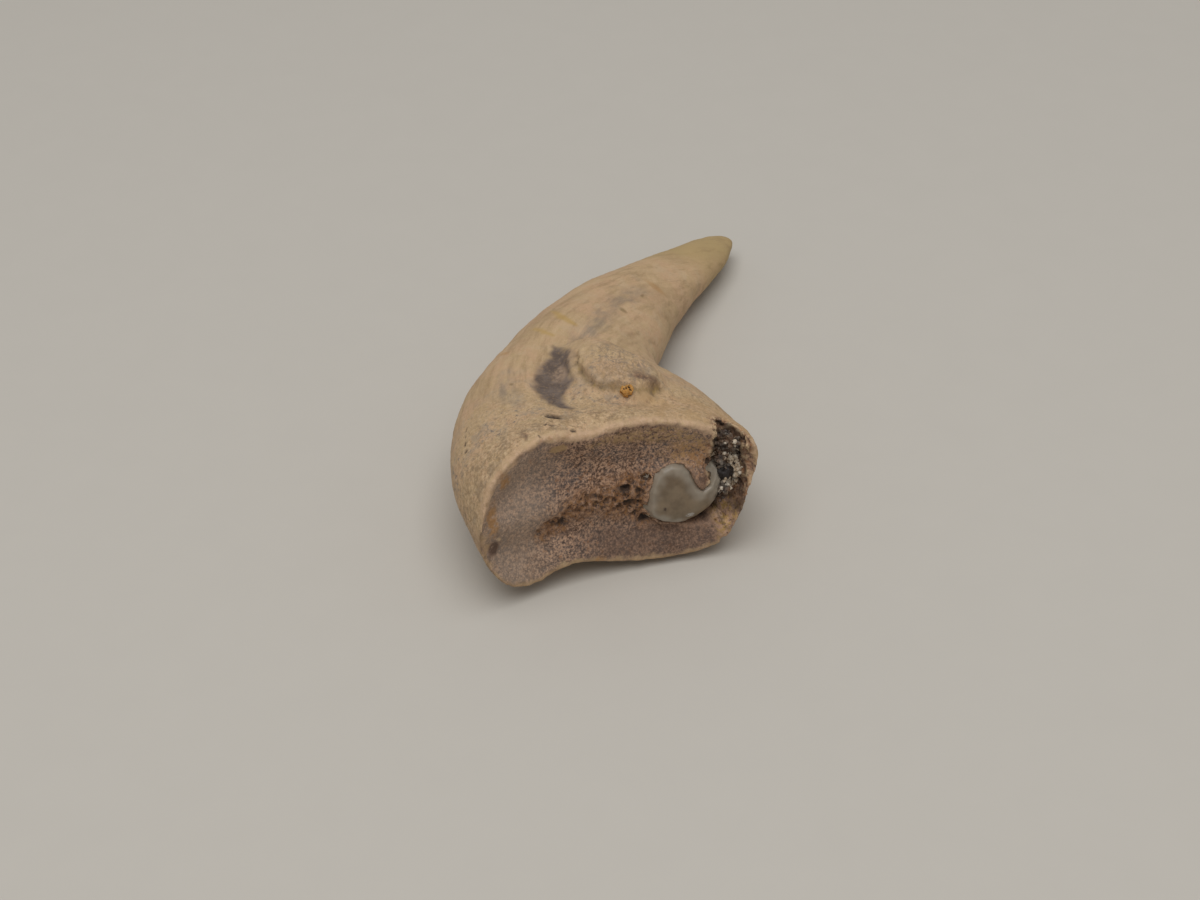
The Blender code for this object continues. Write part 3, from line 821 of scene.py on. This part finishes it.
def add_flank_ground(finish):
    """The colour of the flanks: tan, with fibres, blue-grey specks near the joint, stains and the boss."""
    steps, mask, blots = finish.steps, finish.mask, finish.blots
    grit = finish.noise(0.13, 2, 0.6, 4.0)
    fine = finish.noise(0.24, 3, 0.75)
    speck = finish.noise(0.36, 3, 0.7, 7.0)
    patch = finish.noise(1.1, 5, 0.65, 2.0)
    cloud = finish.noise(2.6, 4, 0.6, 9.0)
    crumple = finish.noise(0.4, 3, 0.65, 12.0, stretch=2.0, distortion=0.8)
    fibre = finish.fibres(0.2, 6.0, 3, 0.65, 1.0)
    thread = finish.fibres(0.55, 6.0, 4, 0.65, 5.0)
    band = finish.fibres(1.6, 5.0, 3, 0.6, 11.0)
    near = mask("mottle")
    far = 1.0 - near
    cluster = steps(cloud * 0.5 + patch * 0.5, 0.45, 0.6)
    lines = steps(crumple, 0.49, 0.52) * steps(crumple, 0.58, 0.54)
    ground = finish.coats(
        "tan",
        (steps(cloud, 0.38, 0.62), "pink"),
        (steps(patch, 0.45, 0.7) * 0.6, "cream"),
        (steps(band, 0.5, 0.62) * far * 0.3, "bark"),
        (steps(thread, 0.5, 0.68) * (far * 0.45 + 0.1), "bark"),
        (steps(thread, 0.48, 0.34) * 0.3, "cream"),
        (steps(fibre, 0.5, 0.7) * 0.3, "olive"),
        (steps(fine, 0.5, 0.64) * (near * 0.6 + 0.2), "cream"),
        (steps(fine, 0.47, 0.34) * (near * 0.75 + 0.12), "bark"),
        (steps(patch * 0.7 + cloud * 0.3, 0.5, 0.62) * (near * 0.35 + 0.1), "slate"),
        (steps(speck, 0.55, 0.63) * (near * (cluster * 0.6 + 0.2) + 0.03), "slate"),
        (steps(speck, 0.64, 0.7) * (near * 0.6 + 0.05), "stain"),
        (steps(grit, 0.58, 0.7) * (near * 0.45 + 0.1), "slate"),
        (blots("neck", speck * 0.6 + patch * 0.4, 0.46, 0.56, 0.65), "bark"),
        (blots("neck", fine, 0.52, 0.62, 0.5), "cream"),
        (blots("collar", patch, 0.35, 0.6, 0.5), "apricot"),
        # Painted shade of the shallow grooves, in slate.
        (blots("groove_shade", thread, 0.3, 0.6, 0.5), "slate"),
        (mask("tip") * (0.6 + 0.4 * patch), "olive"),
        (blots("tip", thread, 0.5, 0.65, 0.3), "bark"),
        (mask("ochre") * 0.65, "honey"),
        (mask("blade_spot") * 0.4, "orange"),
        (mask("dark_spot") * 0.6, "seam"),
    )
    stained = finish.coats(
        "stain",
        (steps(patch, 0.4, 0.65), "mauve"),
        (blots("stain_middle", patch, 0.35, 0.6, 0.5), "rose"),
        (steps(fine, 0.46, 0.34) * 0.4, "bark"),
    )
    ruddy = finish.mix(steps(fine, 0.52, 0.62) * 0.4, "umber", "rust")
    return finish.coats(
        ground,
        (mask("stain") * (0.75 + 0.4 * fine), stained),
        (mask("wrinkles") * lines * 0.55, "mauve"),
        (blots("wrinkles", thread * 0.5 + speck * 0.5, 0.48, 0.6, 0.4), "slate"),
        (blots("wrinkles", speck, 0.48, 0.38, 0.4), "bark"),
        (blots("boss_foot", speck, 0.35, 0.55, 0.5), "bark"),
        (blots("boss_foot", fine, 0.52, 0.62, 0.5), "rose"),
        (mask("crumb_hollow") * 0.5, "film"),
        # The crease's olive line: its own stain and painted shadow under the boss's edge.
        (blots("crease", speck, 0.3, 0.45, 0.9), "seam"),
        (blots("crease", speck, 0.52, 0.6, 0.7), "honey"),
        (blots("spot", speck, 0.25, 0.45, 0.9), ruddy),
    )


def bone_finish(colours):
    """Old bone: tan flanks mottled with slate, a dark granular joint face, stained seams and painted shade."""
    finish = Finish("fossil bone", colours)
    steps, mask, blots = finish.steps, finish.mask, finish.blots
    grit = finish.noise(0.1, 2, 0.6, 4.0)
    fine = finish.noise(0.2, 4, 0.7)
    speck = finish.noise(0.42, 4, 0.75, 7.0)
    patch = finish.noise(1.1, 5, 0.65, 2.0)
    fibre = finish.fibres(0.2, 6.0, 3, 0.65, 1.0)
    patchy = steps(speck * 0.5 + fine * 0.5, 0.42, 0.56)
    worn = steps(speck * 0.5 + fine * 0.5, 0.42, 0.58)
    face, crest, keel = mask("face"), mask("crest"), mask("keel")
    # Painted shade: bark brown laid on the flank near the rim's lower side.
    flank = finish.mix(blots("under", speck, 0.35, 0.6, 0.6), add_flank_ground(finish), "bark")
    grain = finish.coats(
        add_face_grain(finish),
        (mask("grey_end") * (0.2 + 0.5 * fine), "ash"),
        (mask("low") * 0.6, "umber"),
        (mask("golden") * patchy * 0.85, "golden"),
        (mask("film") * patchy * 0.85, "film"),
        (blots("keel", speck * 0.6 + fine * 0.4, 0.4, 0.52, 0.8), "rust"),
        (blots("keel", fine, 0.5, 0.6, 0.6), "orange"),
        (keel * crest * steps(fine, 0.4, 0.58) * 0.7, "clay"),
        (blots("keel", fine * 0.6 + grit * 0.4, 0.48, 0.4, 0.85), "soot"),
        (blots("socket", fine, 0.45, 0.6, 0.7), "rust"),
        (blots("tongue", speck, 0.7, 0.5, 0.8), "umber"),
        (crest * 0.3, "clay"),
    )
    sandy = finish.coats(
        "clay",
        (steps(speck, 0.45, 0.6), "honey"),
        (steps(fine, 0.46, 0.38) * 0.8, "umber"),
    )
    broken = finish.coats(
        "umber",
        (steps(speck, 0.4, 0.6), "rust"),
        (steps(fine, 0.42, 0.56) * 0.7, "clay"),
        (crest * steps(fine, 0.35, 0.55), "cream"),
        (mask("sandy") * 0.85, sandy),
    )
    bone = finish.coats(
        flank,
        (face, grain),
        # The rim's own pale band, brighter on the upper side and faint below: painted light and shade.
        (mask("rim") * (mask("high") * 0.7 + 0.15) * worn, "rose"),
        (blots("lip", patch, 0.52, 0.66, 0.6), "rust"),
        (blots("lip", speck, 0.54, 0.64, 0.6), "bark"),
        (blots("undercut_shade", speck, 0.3, 0.5, 0.7), "umber"),
        # Painted shade: dark lines where the rim overhangs the joint face.
        (mask("flake") * 0.8, "film"),
        (blots("rust", speck, 0.35, 0.55, 0.75), "orange"),
        (blots("brown", speck, 0.25, 0.42, 0.95), "umber"),
        (mask("dot") * 0.8, "cream"),
        (mask("broken"), broken),
        # Painted shade: the pit's walls are darkened in patches, for the shaded voids of the broken corner.
        (blots("pit", patch, 0.35, 0.55, 0.7), "soot"),
        # Dirt and painted shade in the hollows.
        (mask("hollow_dirt_and_shade") * 0.8, "soot"),
        (mask("crack") * 0.8, "umber"),
        (mask("dent"), "soot"),
    )
    rough = mask("mottle") * 0.8 + face * 1.2 + 0.6
    height = (fine * 0.5 + grit * 0.4) * rough + fibre * 0.2 + keel * fine * 1.5
    inputs = {
        "Base Color": bone,
        "Roughness": 0.62 + 0.2 * fine,
        "Normal": finish.bump(height, 0.07),
        "Specular IOR Level": 0.35,
    }
    return finish.done(inputs)


def pebble_finish(stone, bone):
    """Cloudy, olive-grey quartz with a pale edge, a dark speck and a painted highlight on a small chip."""
    finish = Finish("clear quartz", stone)
    steps, mask = finish.steps, finish.mask
    cloud = finish.noise(1.2, 3, 0.6)
    fine = finish.noise(0.25, 3, 0.6)
    body = finish.coats(
        "quartz",
        (steps(cloud, 0.35, 0.65), "smoke"),
        (mask("pale") * 0.75, "pale"),
        (mask("speck"), bone.umber),
        # A painted highlight on the chip.
        (mask("chip") * steps(fine, 0.35, 0.45), "glint"),
    )
    haze = {"Color": finish.colour("haze"), "Density": stone.haze_density}
    haze = finish.node("ShaderNodeVolumeAbsorption", {}, haze, "Volume")
    finish.feed(finish.tree.nodes["Material Output"], {"Volume": haze})
    inputs = {
        "Base Color": body,
        "Roughness": 0.3 + 0.2 * cloud,
        "Transmission Weight": 0.6,
        "IOR": 1.54,
        "Normal": finish.bump(finish.noise(0.9, 2) + 0.4 * fine, 0.06),
    }
    return finish.done(inputs)


def crystal_finish(colours):
    """Small calcite crystals, white to smoky brown, and the black nodule among them."""
    finish = Finish("calcite", colours)
    tint = finish.steps(finish.noise(0.5, 3, 0.6), 0.35, 0.65)
    smoky = finish.mask("smoky")
    white = finish.mix(tint, "calcite", "cream")
    dark = finish.mix(tint, "matrix", "brown")
    inputs = {
        "Base Color": finish.coats(white, (smoky, dark), (finish.steps(smoky, 1.0, 2.0), "nodule")),
        "Roughness": 0.3 + 0.4 * finish.noise(0.3),
        "Transmission Weight": 0.15,
        "IOR": 1.6,
        "Specular IOR Level": 0.25,
        "Normal": finish.bump(finish.noise(0.15, 3), 0.05),
    }
    return finish.done(inputs)


def ochre_finish(colours):
    """Dull, crumbly ochre, with painted shade in its holes."""
    finish = Finish("ochre", colours)
    grain = finish.noise(0.12, 3)
    crumbly = finish.coats(
        "ochre",
        (finish.steps(grain, 0.4, 0.7), "amber"),
        # Painted shade in the crumb's holes.
        (finish.mask("hollow_dirt_and_shade"), "hole"),
    )
    return finish.done({"Base Color": crumbly, "Roughness": 0.85, "Normal": finish.bump(grain, 0.03)})


def floor_finish(colour):
    """A plain, dull floor with faint specks."""
    finish = Finish("floor")
    darker = tuple(0.8 * part for part in colour)
    speckled = finish.mix(finish.noise(3.0, 3) * 0.15, colour, darker)
    return finish.done({"Base Color": speckled, "Roughness": 0.8})


# The pieces


def settle(piece, node, material):
    """Give a finished piece its material and its body, and hide the imported node that it stands for."""
    piece.data.materials.clear()
    piece.data.materials.append(material)
    piece.data.shade_smooth()
    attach(piece, "root")
    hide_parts(node)


def fill_socket(bone):
    """Join a filling to the bone where the bone grows over the pebble's edge, short of its bare side."""
    fill = copy_of_node("quartz_pebble", "fill")
    places = claw_places(fill.data)
    inner = places[:, 1].max()
    places[:, 1] = inner + SOCKET_SHARE * (places[:, 1] - inner)
    set_claw_places(fill.data, wear_pebble_front(places))
    select_only(bone, fill)
    bpy.ops.object.join()


def wear_pebble_front(places):
    """The pebble's points with its front worn down towards the joint face."""
    places = places.copy()
    places[:, 0] += PEBBLE_WEAR * np.maximum(PEBBLE_FRONT - places[:, 0], 0)
    return places


def keep_main_part(piece):
    """Delete the crumbs that the remeshing leaves loose."""
    work = bmesh.new()
    work.from_mesh(piece.data)
    waiting = set(work.verts)
    parts = []
    while waiting:
        part = [waiting.pop()]
        for vertex in part:
            for edge in vertex.link_edges:
                other = edge.other_vert(vertex)
                if other in waiting:
                    waiting.remove(other)
                    part.append(other)
        parts.append(part)
    parts.sort(key=len)
    for part in parts[:-1]:
        bmesh.ops.delete(work, geom=part, context="VERTS")
    work.to_mesh(piece.data)
    work.free()


def sink_bare_pebble(bone):
    """Sink the bone below the bare part of the pebble, with a ragged edge."""
    places = claw_places(bone.data)
    inside = patch_distance(places[:, 1:], PEBBLE_OUTLINE) + 0.08 * waver(places, 0.5, 3.0)
    near = smooth(2.4, 2.0, places[:, 0]) * smooth(-7.2, -6.9, places[:, 1])
    places[:, 0] += 0.9 * smooth(0.02, -0.2, inside) * near
    set_claw_places(bone.data, places)


def make_bone(shape, colours):
    """The bone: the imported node's shape, remeshed finely and given its grain, sponge, pores and openings."""
    bone = copy_of_node("claw", "fossil_bone")
    rim = rim_points(bone)
    fill_socket(bone)
    apply(bone, "REMESH", mode="VOXEL", voxel_size=shape.cell)
    keep_main_part(bone)
    apply(bone, "SMOOTH", factor=0.5, iterations=8)
    masks = bone_masks(bone.data, rim)
    write_masks(bone, masks)
    write_fibre_places(bone)
    shape_boss(bone)
    dents = press_dents(bone, masks["face"])
    for name in ("face", "lip", "worn_edge", "keel", "sponge", "flank", "mottle", "boss"):
        write_group(bone, name, masks[name])
    raise_relief(
        bone,
        (clouds(2.2, 1), shape.swell),
        (clouds(0.6, 2), 0.06 * MM, "flank"),
        (clouds(0.7, 2, "HARD_NOISE"), 0.16 * MM, "boss"),
        (pits(0.62, 0.3), shape.pores, "mottle"),
        (clouds(0.3, 2, "HARD_NOISE"), shape.grain, "face"),
        (clouds(1.1, 2), 0.3 * MM, "lip"),
        (clouds(0.4, 2), 0.22 * MM, "lip"),
    )
    apply(bone, "SMOOTH", factor=0.5, iterations=7, vertex_group="worn_edge")
    raise_relief(
        bone,
        (pits(0.5, 0.55), shape.sponge * 0.4, "keel"),
        (clouds(0.45, 2, "HARD_NOISE"), 0.4 * MM, "keel"),
        (pits(0.6, 0.6), shape.sponge * 0.8, "sponge"),
        (clouds(0.4, 3), 0.25 * MM, "sponge"),
    )
    sink_bare_pebble(bone)
    keep_above_floor(bone.data)
    rise = hollowness(bone.data, 3)
    # Points lying below their neighbours are darkened: dirt and painted shade in the hollows.
    folds = {"hollow_dirt_and_shade": smooth(0.015, 0.08, rise), "crest": smooth(-0.005, -0.04, rise)}
    write_masks(bone, {**folds, "dent": dents})
    bone.vertex_groups.clear()
    settle(bone, "claw", bone_finish(colours))


def make_pebble(stone, bone):
    """The pebble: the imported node's shape, worn flat in front and sunk where the bone covers it."""
    pebble = copy_of_node("quartz_pebble", "clear_pebble")
    apply(pebble, "SUBSURF", levels=3, render_levels=3)
    places = claw_places(pebble.data)
    places = wear_pebble_front(PEBBLE_CENTRE + PEBBLE_SWELL * (places - PEBBLE_CENTRE))
    joint = places[:, 1:]
    covered = smooth(-0.25, 0.15, patch_distance(joint, PEBBLE_OUTLINE))
    places[:, 0] += 0.5 * covered * smooth(2.2, 1.4, places[:, 0])
    set_claw_places(pebble.data, places)
    raise_relief(pebble, (clouds(1.6, 2), 0.2 * MM), (clouds(0.5, 1), 0.04 * MM))
    places = claw_places(pebble.data)
    joint = places[:, 1:]
    ragged = waver(places, 0.5, 3.0)
    edge = smooth(-0.8, -0.1, patch_distance(joint, PEBBLE_OUTLINE) + 0.3 * ragged)
    masks = {
        "pale": np.maximum(smooth(-5.6, -6.6, places[:, 1] + 0.4 * ragged), 0.9 * edge),
        "speck": smooth(1.2, 0.7, oval(joint, *PEBBLE_SPECK)),
        # Where the chip's painted highlight lies.
        "chip": smooth(1.2, 0.7, oval(joint, *PEBBLE_CHIP_GLINT) + 0.2 * ragged),
    }
    write_masks(pebble, masks)
    settle(pebble, "quartz_pebble", pebble_finish(stone, bone))


def add_crystal():
    """One stubby crystal 1 m long, standing on its end: a six-sided prism with a pointed top."""
    deselect()
    bpy.ops.mesh.primitive_cylinder_add(vertices=6, radius=0.3, depth=0.7, location=(0, 0, 0.35))
    crystal = bpy.context.object
    bpy.ops.object.transform_apply(location=True)
    work = bmesh.new()
    work.from_mesh(crystal.data)
    top = [face for face in work.faces if face.calc_center_median().z > 0.69]
    bmesh.ops.poke(work, faces=top, offset=0.3)
    work.to_mesh(crystal.data)
    work.free()
    return crystal


def shade_crystals(piece, smoky):
    """Give a crystal its share of smoky brown; 2 is the nodule's black."""
    layer = piece.data.attributes.new("smoky", "FLOAT", "POINT")
    layer.data.foreach_set("value", [smoky] * len(piece.data.vertices))


def plant_crystal(model, chance, corners, normal):
    """A copy of a crystal, of a random size, place and lean on a face, white near the white spots."""
    shares = chance.dirichlet((1, 1, 1))
    place = sum((corner * float(share) for corner, share in zip(corners, shares)), Vector())
    lean = Vector(chance.normal(0, CRYSTAL_LEAN, 3))
    length = float(chance.uniform(*CRYSTAL_LENGTHS)) * MM
    width = length * float(chance.uniform(*CRYSTAL_WIDTHS))
    turn = Vector((0, 0, 1)).rotation_difference(normal + lean).to_matrix().to_4x4()
    crystal = bpy.data.objects.new("crystal", model.data.copy())
    bpy.context.scene.collection.objects.link(crystal)
    size = Matrix.Diagonal((width, width, length, 1.0))
    crystal.data.transform(Matrix.Translation(place - normal * 0.1 * MM) @ turn @ size)
    spot = CLAW_PLACE.inverted() @ place
    reach = min(math.dist(spot[1:], centre) / radius for centre, radius in WHITE_CRYSTALS)
    white = chance.random() < max(0.04, 1.8 - 1.0 * reach)
    shade_crystals(crystal, 0.12 * float(chance.random()) if white else float(chance.uniform(0.82, 1.0)))
    return crystal


def add_nodule():
    """The lumpy nodule among the crystals."""
    deselect()
    place = CLAW_PLACE @ Vector(NODULE_PLACE)
    bpy.ops.mesh.primitive_ico_sphere_add(subdivisions=4, radius=NODULE_RADIUS * MM, location=place)
    nodule = bpy.context.object
    bpy.ops.object.transform_apply(location=True)
    apply(nodule, "DISPLACE", texture=pattern("CLOUDS", 0.3 * MM), strength=0.3 * MM)
    shade_crystals(nodule, 2.0)
    return nodule


def make_crystals(colours):
    """The crust of crystals: a bed in painted shade with stubby white and smoky crystals on it, and a nodule.
    """
    bed = copy_of_node("calcite_crust", "crystal_crust")
    places = claw_places(bed.data)
    places[:, 1] += BED_STRETCH * np.minimum(places[:, 1] - PIT_MIDDLE, 0)
    set_claw_places(bed.data, places)
    seat = bed.data.copy()
    seat.calc_loop_triangles()
    turn = CLAW_PLACE.inverted().to_3x3()
    faces = [face for face in seat.loop_triangles if (turn @ face.normal).normalized().x < 0.3]
    areas = np.array([face.area for face in faces])
    chance = np.random.default_rng(CRYSTAL_SEED)
    model = add_crystal()
    parts = []
    for pick in chance.choice(len(faces), CRYSTAL_COUNT, p=areas / areas.sum()):
        corners = [seat.vertices[index].co for index in faces[pick].vertices]
        parts.append(plant_crystal(model, chance, corners, Vector(faces[pick].normal)))
    bpy.data.objects.remove(model)
    parts.append(add_nodule())
    # The bed is painted dark, as the shade of the voids between the crystals.
    shade_crystals(bed, 1.0)
    select_only(bed, *parts)
    bpy.ops.object.join()
    settle(bed, "calcite_crust", crystal_finish(colours))
    bed.data.shade_flat()


def make_crumb(colours):
    """The crumb of ochre: a grain eaten through by small holes."""
    crumb = copy_of_node("ochre_crumb", "ochre_grain")
    places = claw_places(crumb.data)
    middle = places.mean(axis=0)
    set_claw_places(crumb.data, middle + (places - middle) * CRUMB_SHRINK)
    apply(crumb, "REMESH", mode="VOXEL", voxel_size=0.1001 * MM)
    apply(crumb, "SUBSURF", levels=2, render_levels=2)
    raise_relief(crumb, (pits(0.32, 0.6), 0.3 * MM), (clouds(0.12, 2), 0.06 * MM))
    # Painted shade in the holes.
    write_masks(crumb, {"hollow_dirt_and_shade": smooth(0.0, 0.005, hollowness(crumb.data, 6))})
    settle(crumb, "ochre_crumb", ochre_finish(colours))


def make_stage(stage):
    """The pale floor, the soft lights and the camera."""
    deselect()
    bpy.ops.mesh.primitive_plane_add(size=3.0)
    floor = bpy.context.object
    floor.name = "floor"
    floor.data.materials.append(floor_finish(stage.floor))

    bpy.ops.object.light_add(type="AREA", location=stage.key_place)
    key = bpy.context.object
    key.data.energy = stage.key_power
    key.data.size = stage.key_size
    key.rotation_euler = (-key.location).to_track_quat("-Z", "Y").to_euler()

    world = bpy.data.worlds.new("studio")
    world.use_nodes = True
    sky = world.node_tree.nodes["Background"]
    sky.inputs["Color"].default_value = (*stage.sky, 1.0)
    sky.inputs["Strength"].default_value = stage.fill
    bpy.context.scene.world = world

    place, aim = Vector(stage.camera_place), Vector(stage.camera_aim)
    look = (aim - place).to_track_quat("-Z", "Y") @ Euler((0, 0, stage.camera_roll)).to_quaternion()
    bpy.ops.object.camera_add(location=place, rotation=look.to_euler())
    camera = bpy.context.object
    camera.data.lens = stage.lens
    camera.data.clip_start = 0.005
    bpy.context.scene.camera = camera
    bpy.context.scene.view_settings.view_transform = "Standard"


class CLAW_OT_bone(bpy.types.Operator):
    """Model the fossil bone"""

    bl_idname = "claw.bone"
    bl_label = "Bone"

    def execute(self, context):
        make_bone(context.scene.claw_bone_shape, context.scene.claw_bone_colours)
        return {"FINISHED"}


class CLAW_OT_pebble(bpy.types.Operator):
    """Model the clear pebble in the joint face"""

    bl_idname = "claw.pebble"
    bl_label = "Pebble"

    def execute(self, context):
        make_pebble(context.scene.claw_stone_colours, context.scene.claw_bone_colours)
        return {"FINISHED"}


class CLAW_OT_crystals(bpy.types.Operator):
    """Model the crystals in the broken corner"""

    bl_idname = "claw.crystals"
    bl_label = "Crystals"

    def execute(self, context):
        make_crystals(context.scene.claw_stone_colours)
        return {"FINISHED"}


class CLAW_OT_crumb(bpy.types.Operator):
    """Model the crumb of ochre on the flank"""

    bl_idname = "claw.crumb"
    bl_label = "Ochre crumb"

    def execute(self, context):
        make_crumb(context.scene.claw_stone_colours)
        return {"FINISHED"}


class CLAW_OT_stage(bpy.types.Operator):
    """Set up the floor, the lights and the camera"""

    bl_idname = "claw.stage"
    bl_label = "Stage"

    def execute(self, context):
        make_stage(context.scene.claw_stage)
        return {"FINISHED"}


class CLAW_PT_panel(bpy.types.Panel):
    """The fossil claw's pieces and stage"""

    bl_label = "Fossil claw"
    bl_space_type = "VIEW_3D"
    bl_region_type = "UI"
    bl_category = "Fossil claw"

    def draw(self, context):
        layout = self.layout
        for operator in OPERATORS:
            layout.operator(operator.bl_idname)
        for name in SETTINGS:
            settings = getattr(context.scene, name)
            box = layout.box()
            for field in settings.bl_rna.properties:
                if not field.is_readonly and field.identifier != "name":
                    box.prop(settings, field.identifier)


OPERATORS = (CLAW_OT_bone, CLAW_OT_pebble, CLAW_OT_crystals, CLAW_OT_crumb, CLAW_OT_stage)
SETTINGS = {
    "claw_bone_shape": BoneShape,
    "claw_bone_colours": BoneColours,
    "claw_stone_colours": StoneColours,
    "claw_stage": StageSettings,
}


def register():
    """Add the settings, the operators and the panel."""
    for item in (*SETTINGS.values(), *OPERATORS, CLAW_PT_panel):
        bpy.utils.register_class(item)
    for name, group in SETTINGS.items():
        setattr(bpy.types.Scene, name, PointerProperty(type=group))


def unregister():
    """Take them away again."""
    for name in SETTINGS:
        delattr(bpy.types.Scene, name)
    for item in reversed((*SETTINGS.values(), *OPERATORS, CLAW_PT_panel)):
        bpy.utils.unregister_class(item)


def main():
    """Make the stage and every piece."""
    register()
    bpy.ops.claw.stage()
    bpy.ops.claw.bone()
    bpy.ops.claw.pebble()
    bpy.ops.claw.crystals()
    bpy.ops.claw.crumb()


if __name__ == "__main__":
    main()
